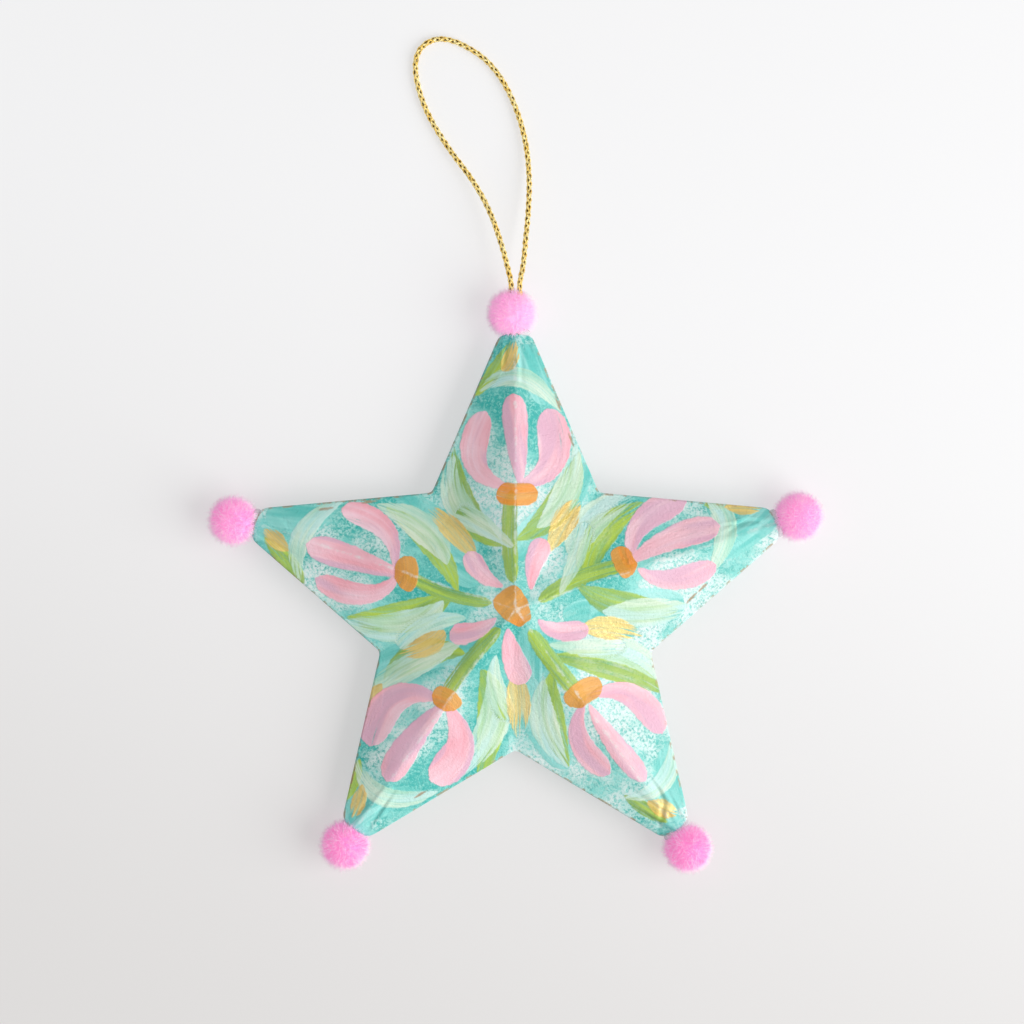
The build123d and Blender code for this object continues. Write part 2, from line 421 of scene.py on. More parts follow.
# Paper star: two pressed halves, each one closed skin from the middle of the face round the rim to the inside
paper = {
    "tipShoulder": 53.9,  # where the rounding of a blunt tip begins
    "tipEnd": 54.8,  # its furthest, pressed into the pile
    "seamFront": 5.7,
    "seamBack": 5.4,
    "seamInset": 0.1,  # of the seam's glue from the rim
    "lip": 0.8,
    "frontRelief": 8.2,
    "backRelief": 7.5,
    "backFlat": 4.6,  # depth of the back's flat star
    "backRounding": 0.3,  # of the flat star's edge
    "rimRounding": 0.55,
    "foldRounding": 0.5,
    "land": 1.6,
    "wall": 1.2,
    "sideSteps": 56,
    "tipSteps": 18,
    "faceRings": 104,
    "rimRings": 5,
    "innerRings": 7,
    "innerEnd": 0.12,  # share of the land's outline at the innermost ring
    "seed": 7,
    "ripple": 0.11,  # height of the ripple of full length
    "rippleLengths": (34, 27, 19, 15, 11, 8.5, 6.5),
    "fullRipple": 30.0,
    "backRipple": 0.3,  # share of the ripples on the back
    "rippleFade": 0.12,  # share of the relief where ripples rise
    # how many creases a point has, and how deep against the others
    "creases": {"top": (3, 1), "left": (3, 1), "lower_left": (3, 1), "lower_right": (7, 1.5),
                "right": (5, 1)},
    "creasePlace": (47, 53),  # along the point
    "creaseAside": 2.6,
    "creaseLean": 24,  # degrees from the point's direction
    "creaseReach": (2.2, 4.2),
    "creaseDepth": (0.2, 0.42),
    "creaseWidth": 0.4,
    "creaseFade": 0.05,  # share of the relief where creases rise
    "creaseRidge": {"share": 0.6, "aside": 0.6, "width": 0.45},
}


def softLow(a, b, k):
    # smooth smaller of two: their mean less half the rounded size of their difference
    return 0.5 * (a + b - np.sqrt((a - b) ** 2 + k * k))


def bell(x, width):
    # 1 in the middle, falling by the square of the distance in widths
    return np.exp(-(x / width) ** 2)


def starHeight(x, y):
    # 1 in the middle, 0 on the edges, falling evenly towards the nearest edge; ridges and valleys are rounded
    # by taking the root of distance squared plus fold squared for the distance to the fold
    turn = np.degrees(np.arctan2(y, x)) - arms["right"]
    away = np.abs((turn + notchTurn) % (2 * notchTurn) - notchTurn)
    radius, fold = np.hypot(x, y), paper["foldRounding"]
    rho, lateral = polar(radius, away)
    valley = radius * np.sin(np.radians(notchTurn - away))
    a, b = polar(1, edgeTurn)
    c = np.sin(np.radians(edgeTurn - notchTurn))
    ridge = rho * a + np.hypot(lateral, fold) * b
    return 1 - (ridge - (np.hypot(valley, fold) - valley) * c) / edgeDistance


def starOutline():
    # counter-clockwise from the notch before the right point: straight side, rounded blunt tip, straight side
    side = np.linspace(0, 1, paper["sideSteps"], endpoint=False)
    across = np.linspace(-1, 1, paper["tipSteps"])
    shoulder = paper["tipShoulder"]
    half = (star["pointRadius"] - shoulder) * edgeSlope
    rising = notchX + (shoulder - notchX) * side
    falling = shoulder + (notchX - shoulder) * side[1:]
    rho = np.r_[rising, shoulder + (paper["tipEnd"] - shoulder) * (1 - np.abs(across) ** 3), falling]
    lateral = np.r_[-(star["pointRadius"] - rising) * edgeSlope, across * half,
                    (star["pointRadius"] - falling) * edgeSlope]
    outline = np.concatenate([armPoint(angle, rho, lateral).T for angle in sorted(arms.values())])
    # corners softened by averaging neighbours
    for _ in range(2):
        outline = 0.25 * np.roll(outline, 1, 0) + 0.5 * outline + 0.25 * np.roll(outline, -1, 0)
    tangent = np.roll(outline, -1, 0) - np.roll(outline, 1, 0)
    outward = unit(np.stack([tangent[:, 1], -tangent[:, 0]], 1))
    return outline, outward


def unevenness(x, y, rng):
    # slow ripples of hand-pressed paper: a sum of sine waves of random heading, lower where they are shorter
    total = np.zeros(np.shape(x))
    for length in paper["rippleLengths"]:
        heading, phase = rng.uniform(0, fullTurn, 2)
        travel = x * np.cos(heading) + y * np.sin(heading)
        total += (length / paper["fullRipple"]) ** 0.8 * np.sin(fullTurn * travel / length + phase)
    return paper["ripple"] * total


def creases(x, y, rng):
    # folds pressed into the tips: each a dent across its line and a low ridge beside it
    total = np.zeros(np.shape(x))
    ridge = paper["creaseRidge"]
    for name, angle in arms.items():
        count, gain = paper["creases"][name]
        for _ in range(count):
            rho, lateral = rng.uniform(*paper["creasePlace"]), rng.uniform(-1, 1) * paper["creaseAside"]
            middleX, middleY = armPoint(angle, rho, lateral)
            alongX, alongY = polar(1, angle + rng.normal(0, paper["creaseLean"]))
            along = (x - middleX) * alongX + (y - middleY) * alongY
            across = (y - middleY) * alongX - (x - middleX) * alongY
            reach = bell(along, rng.uniform(*paper["creaseReach"]))
            depth = rng.uniform(*paper["creaseDepth"]) * gain
            beside = ridge["share"] * bell(across - ridge["aside"], ridge["width"])
            total += depth * reach * (beside - bell(across, paper["creaseWidth"]))
    return total


def makeHalf(name, front, material):
    # rings of points out over the face, round the rim, in over the land and back along the inside
    outline, outward = starOutline()
    columns = len(outline)
    rounding = paper["rimRounding"]
    inset = outline - rounding * outward
    landEdge = outline - paper["land"] * outward
    share = np.linspace(0, 1, paper["faceRings"] + 1)[1:]
    face = (share[:, None, None] * inset[None]).reshape(-1, 2)

    def level(p):
        # height above the seam of the half's outer face
        x, y = p.T
        h = starHeight(x, y)
        ripple = unevenness(x, y, seeded(paper["seed"] + int(front)))
        ripple *= np.clip(h / paper["rippleFade"], 0, 1)
        if front:
            fold = creases(x, y, seeded(paper["seed"]))
            fold *= np.clip(h / paper["creaseFade"], 0, 1)
            return paper["lip"] + paper["frontRelief"] * h + ripple + fold
        # the back is flattened where it lies
        slope = paper["backRelief"] * h
        ripple *= paper["backRipple"] * (slope < paper["backFlat"])
        return paper["lip"] + softLow(slope, paper["backFlat"], paper["backRounding"]) + ripple

    rows, heights = [face], [level(face)]
    edgeLevel = level(inset)
    for turn in np.linspace(0, 90, paper["rimRings"] + 1)[1:]:
        down, out = polar(1, turn)
        rows.append(outline - rounding * (1 - out) * outward)
        heights.append(edgeLevel - rounding * (1 - down))
    rows += [outline, landEdge]
    heights += [np.zeros(columns), np.zeros(columns)]
    for s in np.linspace(1, paper["innerEnd"], paper["innerRings"] + 1)[1:]:
        rows.append(landEdge * s)
        heights.append(np.maximum(level(landEdge * s) - paper["wall"], 0))
    rings = sum(len(r) for r in rows) // columns
    # last, the two middles that close the face and the inside
    middle = level(np.zeros((1, 2)))[0]
    flat = np.concatenate(rows + [np.zeros((2, 2))])
    rise = np.r_[np.concatenate(heights), middle, middle - paper["wall"]]
    points = np.c_[flat, paper["seamFront"] + rise if front else paper["seamBack"] - rise]
    piece = newPiece(name, points, closedSkin(rings, columns, flip=front), material)
    # distance in from the rim along the face, for the bare paper showing there
    rim = edgeDistance * np.maximum(starHeight(points[:, 0], points[:, 1]), 0)
    rim[len(face):rings * columns] = 0
    pointData(piece, "rim", rim)
    # distance from the nearest ridge, by the angle folded into half a point, for the worn paint and painted
    # sheen there
    sector = np.radians(2 * notchTurn)
    turn = np.arctan2(points[:, 0], points[:, 1])
    ridge = np.hypot(points[:, 0], points[:, 1]) * np.abs(np.sin(turn - sector * np.round(turn / sector)))
    pointData(piece, "ridge", ridge)
    return piece, points


# Brushwork: a plain five-fold folk pattern, each stroke a bent line with a width
brush = {
    "seed": 11,
    "reach": 3.0,  # how far outside a stroke its distance is kept
    "lineSteps": 20,  # straight bits of a stroke's bent line
    "startRange": 400.0,  # strokes begin this far apart in the paint's noise
    "edgeWobble": 0.7,
    "thickness": 0.07,  # paint standing up at a stroke
    # dark, light and stray tone, cover, how dry it runs, how far the ground shows between hairs, thickness
    "looks": {
        "aqua": (srgb(104, 206, 196), srgb(170, 236, 230), srgb(82, 198, 190), 0.92, 0.35, 0.3, 0.4),
        "green": (srgb(128, 168, 56), srgb(176, 208, 80), srgb(196, 222, 62), 0.92, 0.55, 0.3, 0.5),
        "mint": (srgb(180, 226, 200), srgb(232, 247, 228), srgb(206, 242, 240), 0.88, 0.7, 0.3, 0.5),
        "gold": (srgb(224, 186, 92), srgb(255, 228, 140), srgb(250, 206, 110), 0.9, 0.9, 0.3, 0.6),
        "pink": (srgb(255, 168, 184), srgb(255, 218, 230), srgb(228, 178, 204), 0.97, 0.25, 0.06, 0.8),
        "ochre": (srgb(210, 140, 44), srgb(244, 176, 84), srgb(255, 154, 40), 0.96, 0.3, 0.06, 0.9),
        "scratch": (srgb(160, 128, 96), srgb(196, 166, 130), srgb(176, 146, 112), 0.9, 0.4, 0.3, -0.8),
    },
    "backLayers": ("aqua", "mint", "scratch"),
}


def strokeWidth(t, shape):
    # share of the full half width along a stroke: leaf swells midway, comma near its end, dab throughout
    if shape == "leaf":
        return np.sin(np.pi * t) ** 0.75
    if shape == "comma":
        return np.clip(t, 0, 1) ** 0.55 * np.sqrt(np.clip(1 - t ** 7, 0, 1))
    return np.sqrt(np.clip(1 - np.abs(2 * t - 1) ** 5, 0, 1))


def layPattern(rng):
    # layer name to strokes (start, bend, end, half width, shape), all in millimetres
    strokes = {name: [] for name in brush["looks"]}

    def lay(layer, angle, start, bend, end, width, shape, loose=0.8):
        # a stroke by places along and beside a direction, each strayed a little
        ends = [armPoint(angle, *p) + rng.normal(0, loose, 2) for p in (start, bend, end)]
        strokes[layer].append((*ends, width * rng.uniform(0.86, 1.14), shape))

    for arm in arms.values():
        angle = arm + rng.normal(0, 2.5)
        between = angle + notchTurn
        out, wide = rng.uniform(-1.8, 1.4), rng.uniform(0.85, 1.2)
        turn = rng.choice([-1, 1])
        # broad flat washes over the sponged ground
        lay("aqua", angle, (41, -6.5 * turn), (48, -2.8 * turn), (54, -1.0 * turn), 2.6, "dab")
        lay("aqua", angle, (11, -7), (20, -9), (29, -13), 3.4, "dab", 1.6)
        lay("aqua", between, (8, 2.5), (15, 4.5), (24, 1.0), 3.0, "dab", 1.6)
        # leaves and stem, with pale sweeps over them and across the tip
        lay("green", angle, (13, 1), (18, 10 * wide), (31, 12.2), 2.9, "leaf", 1.3)
        lay("green", angle, (13, -1), (19, -9.5 * wide), (30, -12.0), 2.7, "leaf", 1.3)
        lay("green", angle, (5, 0), (14, 2.0 * turn), (24 + out, 0), 1.5, "dab", 0.5)
        lay("green", angle, (42, 6.8 * turn), (47, 4.4 * turn), (52.5, 2.0 * turn), 1.7, "leaf")
        lay("mint", angle, (14, 4.0), (18, 13.5), (33, 13.0), 3.0, "leaf", 1.3)
        lay("mint", angle, (15, -4.5), (21, -12.5), (34, -11.6), 2.7, "leaf", 1.3)
        lay("mint", angle, (38.5, -9.4 * turn), (50, -1.5 * turn), (43, 8.0 * turn), 2.2, "leaf")
        lay("mint", between, (9, -4.2), (16, -5.4), (23, -1.4), 2.7, "comma", 1.3)
        # metallic smears at the notches and near the tips
        lay("gold", between, (14, 0.6), (19, 1.6), (26, 0.8), 2.5, "leaf", 1.0)
        lay("gold", angle, (46.5, 3.0 * turn), (49.5, 1.6 * turn), (53, -0.4), 1.6, "leaf", 0.5)
        if rng.random() < 0.7:
            lay("gold", angle, (28, 12.6 * turn), (33, 12.2 * turn), (40, 8.8 * turn), 2.0, "leaf")
        # tulip of three petals, pointing out along the point
        for way in (-1, 1):
            lay("pink", angle, (24.5 + out, way), (27 + out, 10.8 * wide * way), (39.5 + out, 6.8 * way),
                3.6 * wide, "comma")
        lay("pink", angle, (24 + out, 0), (33 + out, 1.4 * turn), (44 + out, 0), 3.5 * wide, "comma")
        lay("ochre", angle, (23.6 + out, -3.2), (22.0 + out, 0), (23.6 + out, 3.2), 2.4, "dab", 0.5)
        # small buds round the middle
        lay("pink", between, (4.4, 0), (8.5, 2.8 * turn), (14.2, 0.8), 2.9, "comma")
        # scratches beside the edges, down to bare paper
        for _ in range(2):
            rho = rng.uniform(30, 50)
            edge = (star["pointRadius"] - rho) * edgeSlope - rng.uniform(0.4, 1.6)
            edge *= rng.choice([-1, 1])
            inward = -np.sign(edge)
            lay("scratch", angle, (rho, edge), (rho + 1.5, edge + 0.7 * inward),
                (rho + 3.2, edge + 1.4 * inward), 0.3, "leaf", 0.1)
    # a dab in the middle
    lay("ochre", 40, (-3.0, 0), (0, 0.8), (3.0, 0), 3.6, "dab", 0.3)
    return strokes


def strokeField(x, y, strokes, rng):
    # per point, of the last stroke that covers it or else the nearest: depth inside its edge, length along
    # it, offset across it and share along it
    field = np.zeros((len(x), 4), np.float32)
    field[:, 0] = -brush["reach"]
    t = np.linspace(0, 1, brush["lineSteps"] + 1)[:, None]
    for start, bend, end, width, shape in strokes:
        line = (1 - t) ** 2 * start + 2 * t * (1 - t) * bend + t ** 2 * end
        low, high = line.min(0) - width - brush["reach"], line.max(0) + width + brush["reach"]
        near = np.flatnonzero((x > low[0]) & (x < high[0]) & (y > low[1]) & (y < high[1]))
        a, step = line[:-1], np.diff(line, axis=0)
        offset = np.stack([x[near], y[near]], 1)[:, None] - a[None]
        part = np.clip((offset * step).sum(2) / (step ** 2).sum(1), 0, 1)
        gap = offset - part[..., None] * step
        far = np.hypot(gap[..., 0], gap[..., 1])
        k = far.argmin(1)
        row = np.arange(len(near))
        share = (k + part[row, k]) / len(a)
        across = np.sign(step[k, 0] * gap[row, k, 1] - step[k, 1] * gap[row, k, 0]) * far[row, k]
        depth = width * strokeWidth(share, shape) - far[row, k]
        along = share * np.linalg.norm(step, axis=1).sum() + rng.uniform(0, brush["startRange"])
        # a later stroke lies over an earlier one
        over = (depth > field[near, 0]) | (depth > 0)
        deeper = np.maximum(depth, field[near, 0])
        field[near[over]] = np.stack([deeper, along, across / width, share], 1)[over]
    return field


def paintGround(tree, place):
    # teal brushed unevenly with aqua, dabbed with deeper teal and sponged: colour, height and the dots
    cloud = grain(tree, place, 0.07, 4.0, 0.6, 0.3)
    brushed = grain(tree, millimetres(tree, (0.22, 1.5, 1), 38), 0.5, 4.0, 0.6)
    wash = plus(tree, times(tree, cloud, 0.75), times(tree, brushed, 0.25))
    colour = blend(tree, ease(tree, wash, 0.40, 0.60), srgb(58, 184, 176), srgb(142, 223, 215))
    dabs = grain(tree, place, 0.9, 4.0, 0.75, 0.6)
    colour = blend(tree, times(tree, ease(tree, dabs, 0.50, 0.66), 0.55), colour, srgb(22, 164, 160))
    # squiggly dots from a sponge: light teal where it was nearly dry, white and close where it was full
    patch = swing(tree, grain(tree, place, 0.06, 3.0, 0.6), 1.1)
    load = calc(tree, "MINIMUM", calc(tree, "MAXIMUM", patch, -0.04), 0.07)
    coarse = times(tree, grain(tree, place, 0.6, 4.0, 0.8, 0.8), 0.2)
    dots = timesPlus(tree, grain(tree, place, 1.8, 2.0, 0.6, 0.5), 0.8, coarse)
    sponge = ease(tree, plus(tree, dots, load), 0.38, 0.66)
    dotColour = blend(tree, ease(tree, patch, -0.06, 0.14), srgb(148, 224, 214), srgb(240, 249, 247))
    colour = blend(tree, times(tree, sponge, 0.86), colour, dotColour)
    height = plus(tree, times(tree, sponge, 0.5), times(tree, brushed, 0.3))
    return colour, timesPlus(tree, dabs, 0.9, height), dots


def paintStrokes(tree, place, layer, dark, light, stray, cover, dryness, sheer):
    # one layer of strokes: how much of the paint below it hides, its colour and its height
    depth, along, across, share = fourParts(tree, layer)
    hairLine = vector(tree, times(tree, along, 0.11), times(tree, across, 5.0), times(tree, along, 0.01))
    hairs = grain(tree, hairLine, 1.0, 3.0, 0.6)
    wobble = swing(tree, grain(tree, place, 0.7, 3.0, 0.6), brush["edgeWobble"])
    inside = ease(tree, plus(tree, depth, wobble), -0.10, 0.22)
    # the brush runs dry towards the end, so hairs part and the ground shows
    run = times(tree, ease(tree, share, 0.35, 1.05), dryness)
    wet = ease(tree, calc(tree, "SUBTRACT", hairs, times(tree, run, 0.42)), 0.10, 0.28)
    thin = timesPlus(tree, ease(tree, hairs, 0.3, 0.6), sheer, 1 - sheer)
    amount = times(tree, times(tree, inside, wet), times(tree, thin, cover))
    # a brush loaded with two tones: one side of the stroke pale, the other deep
    mixed = plus(tree, timesPlus(tree, across, 0.32, 0.5), swing(tree, hairs, 1.1))
    # each stroke starts with its own mix, which drifts along it
    load = grain(tree, vector(tree, times(tree, along, 0.03), across, 0.0), 1.0, 1.0)
    mixed = plus(tree, mixed, swing(tree, load, 1.5))
    mixed = calc(tree, "ADD", mixed, swing(tree, grain(tree, place, 0.12, 2.0), 1.2), clamp=True)
    tone = blend(tree, mixed, dark, light)
    streakLine = vector(tree, times(tree, along, 0.05), times(tree, across, 1.1), 3.7)
    streak = ease(tree, grain(tree, streakLine, 1.0, 2.0), 0.50, 0.64)
    tone = blend(tree, times(tree, streak, 0.75), tone, stray)
    return amount, tone, times(tree, amount, timesPlus(tree, hairs, 0.8, 0.6))


def paintedPaperLook(tree):
    # the ground, the layers of strokes over it, then wear and painted sheen at the ridges and bare paper at
    # the rim
    place = millimetres(tree)
    colour, height, dots = paintGround(tree, place)
    metal = 0.0
    for layer, (*look, rise) in brush["looks"].items():
        amount, tone, paint = paintStrokes(tree, place, layer, *look)
        colour = blend(tree, amount, colour, tone)
        height = timesPlus(tree, paint, rise, height)
        if layer == "gold":
            # metallic grains in the gold
            metal = times(tree, amount, times(tree, ease(tree, dots, 0.46, 0.56), 0.45))
        elif layer in ("pink", "ochre"):
            metal = times(tree, metal, calc(tree, "SUBTRACT", 1.0, amount))
    # paint worn pale, and painted sheen, in broken pale streaks along the ridges
    wornAndSheen = timesPlus(tree, grain(tree, place, 0.5, 4.0, 0.7), 2.4, pointValue(tree, "ridge"))
    colour = blend(tree, times(tree, ease(tree, wornAndSheen, 1.55, 0.95), 0.5), colour, srgb(236, 246, 242))
    # bare brown paper along the rim, where the paint has rubbed off
    rim = pointValue(tree, "rim")
    bare = ease(tree, timesPlus(tree, grain(tree, place, 0.45, 3.0, 0.65), 1.2, rim), 0.62, 0.46)
    fibre = grain(tree, place, 2.4, 3.0, 0.6)
    kraft = blend(tree, fibre, srgb(150, 120, 90), srgb(204, 176, 142))
    height = timesPlus(tree, fibre, 0.25, height)
    return {
        "Base Color": blend(tree, times(tree, bare, 0.75), colour, kraft),
        "Metallic": metal,
        "Roughness": timesPlus(tree, fibre, 0.2, 0.36),
        "Specular IOR Level": 0.4,
        "Normal": bump(tree, height, brush["thickness"]),
    }


paintedPaper = newMaterial("painted_paper", paintedPaperLook)
pattern = layPattern(seeded(brush["seed"]))
for front, pieceName, node in ((True, "star_front", "front_shell"), (False, "star_back", "back_shell")):
    piece, points = makeHalf(pieceName, front, paintedPaper)
    fieldRng = seeded(brush["seed"] + 1)
    for layer in brush["looks"]:
        # the back has only washes, pale sweeps and rubbed places
        chosen = pattern[layer] if front or layer in brush["backLayers"] else []
        pointData(piece, layer, strokeField(points[:, 0], points[:, 1], chosen, fieldRng))
    placeOnStar(piece, node)
    print(pieceName, "made", len(piece.data.polygons), "faces")


# Pom-poms: a lumpy core under thousands of fine bent fibres
pom = {
    "centre": 58.8,  # along the point, pressed on to the tip
    "coreRadius": 3.9,
    "coreRows": 24,
    "coreColumns": 48,
    "lumpHeight": 0.12,
    "lumpFocus": 14.0,  # how fast a tuft's pull fades round it
    "lumpCalm": 0.3,  # weight of no pull at all
    "fibres": 11500,
    "rootRadius": 3.3,
    "shortest": 0.85,
    "longest": 2.3,
    "mostlyShort": 2.2,  # power of the share from shortest to longest
    "stray": 0.05,  # of a fibre's direction from the even spread
    "spread": 0.45,  # how far a fibre's end wanders sideways
    "fibreWidth": 0.075,
    "knee": 0.55,  # share along a fibre where it bends
    "kneeWidth": 0.9,  # share of the full width there
    "curl": 1.6,
    "clumps": 150,
    "gather": 0.3,  # how far a fibre's end leans to its tuft's middle
    "lowest": 0.02,  # above the table
    "glow": 0.34,  # painted glow, for light that seeps through the dyed pile
    "seed": 23,
    # each ball sits a little off its tip, x and y, and some are paler
    "set": {"top": (-0.7, 0.0, 0.62), "left": (-0.5, -0.8, 0.26), "lower_left": (0.5, 0.1, 0.06),
            "lower_right": (-0.1, -0.5, 0.0), "right": (0.7, 0.1, 0.34)},
}


def scatter(count):
    # even directions over a sphere by the golden angle
    k = np.arange(count) + 0.5
    z = 1 - 2 * k / count
    turn = np.pi * (1 + 5 ** 0.5) * k
    r = np.sqrt(1 - z * z)
    return np.stack([r * np.cos(turn), r * np.sin(turn), z], 1)


def pileLook(tree):
    # deep pink at the core and fibre ends painted pale, painted light for light shining through the thin
    # fibres, with tufts deeper and paler than the rest
    tone = pointValue(tree, "tone")
    # painted light: the fibres grow paler towards their ends
    outer = ease(tree, pointValue(tree, "reach"), 0.06, 0.62)
    colour = blend(tree, outer, srgb(244, 132, 204), srgb(255, 240, 248))
    colour = blend(tree, ease(tree, tone, 0.62, 0.85), colour, srgb(236, 130, 204))
    colour = blend(tree, ease(tree, tone, 0.25, 0.0), colour, srgb(255, 228, 242))
    return {
        "Base Color": blend(tree, pointValue(tree, "pale"), colour, srgb(255, 228, 244)),
        "Roughness": 0.75,
        "Specular IOR Level": 0.2,
        "Sheen Weight": 0.35,
        "Sheen Tint": srgb(255, 214, 232),
        # painted glow of the pile
        "Emission Color": srgb(240, 168, 218),
        "Emission Strength": pom["glow"],
    }


def makeCore(clumps, lift):
    # a ball whose radius is raised by the weighted mean lift of the clumps round each direction
    theta = np.linspace(0, np.pi, pom["coreRows"] + 2)[1:-1, None]
    phi = np.linspace(0, fullTurn, pom["coreColumns"], endpoint=False)
    ball = np.broadcast_arrays(np.sin(theta) * np.cos(phi), np.sin(theta) * np.sin(phi), np.cos(theta))
    ball = np.r_[np.stack(ball, 2).reshape(-1, 3), [[0, 0, 1], [0, 0, -1]]]
    weight = np.exp(pom["lumpFocus"] * (ball @ clumps.T - 1))
    lump = (weight @ lift) / (weight.sum(1) + pom["lumpCalm"])
    return ball * (pom["coreRadius"] + pom["lumpHeight"] * lump)[:, None]


def makePom(name, centre, pale, material, seed):
    # each fibre: three points at its root, three at its knee and one at its end, which leans to its tuft
    rng = seeded(seed)
    count = pom["fibres"]
    clumps = unit(rng.normal(size=(pom["clumps"], 3)))
    core = makeCore(clumps, rng.normal(0, 1, pom["clumps"]))
    heading = unit(scatter(count) + rng.normal(0, pom["stray"], (count, 3)))
    nearest = (heading @ clumps.T).argmax(1)
    wander = rng.normal(0, pom["spread"], (count, 3))
    wander += pom["gather"] * pom["rootRadius"] * (clumps[nearest] - heading)
    wander -= (wander * heading).sum(1, keepdims=True) * heading
    # most fibres are short and few reach the soft outer edge
    length = pom["shortest"] + (pom["longest"] - pom["shortest"]) * rng.random(count) ** pom["mostlyShort"]
    side = unit(np.cross(heading, rng.normal(size=heading.shape)))
    over = np.cross(heading, side)
    turn = np.arange(3) * fullTurn / 3
    circle = np.cos(turn)[None, :, None] * side[:, None] + np.sin(turn)[None, :, None] * over[:, None]

    def spine(share):
        # a fibre's middle: straight out by the share of its length, and aside by the share to a power
        straight = heading * (pom["rootRadius"] + share * length)[:, None]
        return straight + wander * (share ** pom["curl"] * length)[:, None]

    root = spine(0.0)[:, None] + 0.5 * pom["fibreWidth"] * circle
    knee = spine(pom["knee"])[:, None] + 0.5 * pom["fibreWidth"] * pom["kneeWidth"] * circle
    fibres = np.concatenate([root, knee, spine(1.0)[:, None]], 1)
    pointsEach = fibres.shape[1]
    base = len(core) + pointsEach * np.arange(count)[:, None, None]
    sideQuads = (np.array([[0, 1, 4, 3], [1, 2, 5, 4], [2, 0, 3, 5]]) + base).reshape(-1, 4)
    endTris = (np.array([[3, 4, 6], [4, 5, 6], [5, 3, 6], [2, 1, 0]]) + base).reshape(-1, 3)
    points = np.concatenate([core, fibres.reshape(-1, 3)]) + centre
    # pile that would reach into the table lies flat on it
    points[:, 2] = np.maximum(points[:, 2], pom["lowest"])
    faces = closedSkin(pom["coreRows"], pom["coreColumns"], flip=True) + [sideQuads, endTris]
    piece = newPiece(name, points, faces, material)
    # a tuft's fibres share half of their tone, which mottles the ball
    tone = 0.5 * rng.random(count) + 0.5 * rng.random(pom["clumps"])[nearest]
    pointData(piece, "tone", np.r_[np.full(len(core), 0.5), np.repeat(tone, pointsEach)])
    # how far out a point lies, from the core to the longest fibre's end
    outness = np.linalg.norm(points - centre, axis=1) - pom["coreRadius"]
    furthest = pom["rootRadius"] + pom["longest"] - pom["coreRadius"]
    pointData(piece, "reach", np.clip(outness / furthest, 0, 1))
    pointData(piece, "pale", np.full(len(points), pale))
    return piece


pile = newMaterial("pile", pileLook)
for i, (armName, angle) in enumerate(arms.items()):
    offX, offY, pale = pom["set"][armName]
    tipX, tipY = polar(pom["centre"], angle)
    centre = np.array([tipX + offX, tipY + offY, star["rimMiddle"]])
    piece = makePom("pom_" + armName, centre, pale, pile, pom["seed"] + i)
    placeOnStar(piece, "pom_pile_" + armName)
print("pom-poms made")


# Hot-melt glue: an uneven clear collar squeezed out round each pom-pom's foot
glue = {
    "halfWidth": 2.7,
    "halfHeight": 1.3,
    "height": 5.6,  # of its middle above the table
    "inner": 54.0,  # along the point, at the tip
    "outer": 55.8,  # along the point, under the pile
    "swell": 0.25,  # bulge of a wave, divided by the wave's number
    "swellWaves": (2, 3, 5, 7),
    "endRounding": 0.55,  # less makes the ends flatter
    "sideRounding": 0.8,
    "squareness": 2.6,  # 2 is an ellipse
    "rows": 20,
    "columns": 56,
    "ripple": 0.2,
    "seed": 41,
}


def hotGlueLook(tree):
    # cloudy clear plastic
    cloud = grain(tree, millimetres(tree), 0.8, 3.0)
    return {
        "Base Color": blend(tree, cloud, srgb(226, 230, 232), srgb(248, 249, 250)),
        "Roughness": 0.16,
        "Transmission Weight": 0.25,
        "IOR": 1.48,
        "Normal": bump(tree, cloud, glue["ripple"], 0.4),
    }


def makeGlue(name, angle, material, seed):
    # closed drum along the point with rounded ends, its section a squarish oval that bulges by random waves
    rng = seeded(seed)
    theta = np.linspace(0, np.pi, glue["rows"] + 2)[1:-1]
    phi = np.linspace(0, fullTurn, glue["columns"], endpoint=False)
    wave = np.ones_like(phi)
    for n in glue["swellWaves"]:
        wave += glue["swell"] / n * rng.normal() * np.cos(n * phi + rng.uniform(0, fullTurn))
    power = glue["squareness"]
    wave *= (np.abs(np.cos(phi)) ** power + np.abs(np.sin(phi)) ** power) ** (-1 / power)
    ring = np.sin(theta) ** glue["endRounding"]
    middle, half = 0.5 * (glue["inner"] + glue["outer"]), 0.5 * (glue["outer"] - glue["inner"])
    rho = middle - half * np.sign(np.cos(theta)) * np.abs(np.cos(theta)) ** glue["sideRounding"]
    lateral = np.outer(ring, glue["halfWidth"] * wave * np.cos(phi)).ravel()
    z = np.outer(ring, glue["halfHeight"] * wave * np.sin(phi)).ravel() + glue["height"]
    rho = np.r_[np.repeat(rho, len(phi)), glue["inner"], glue["outer"]]
    points = np.c_[armPoint(angle, rho, np.r_[lateral, 0, 0]).T, np.r_[z, glue["height"], glue["height"]]]
    return newPiece(name, points, closedSkin(glue["rows"], glue["columns"]), material)


hotGlue = newMaterial("hot_glue", hotGlueLook)
for i, (armName, angle) in enumerate(arms.items()):
    piece = makeGlue("glue_" + armName, angle, hotGlue, glue["seed"] + i)
    placeOnStar(piece, "glue_bead_" + armName)
print("glue made")


# Seam: a thin ring of glue and brown paper edge between the halves

def seamLook(tree):
    # glue stained unevenly by the paper
    cloud = grain(tree, millimetres(tree), 0.7, 4.0, 0.6)
    colour = blend(tree, cloud, srgb(128, 98, 70), srgb(186, 158, 124))
    return {"Base Color": colour, "Roughness": 0.6}


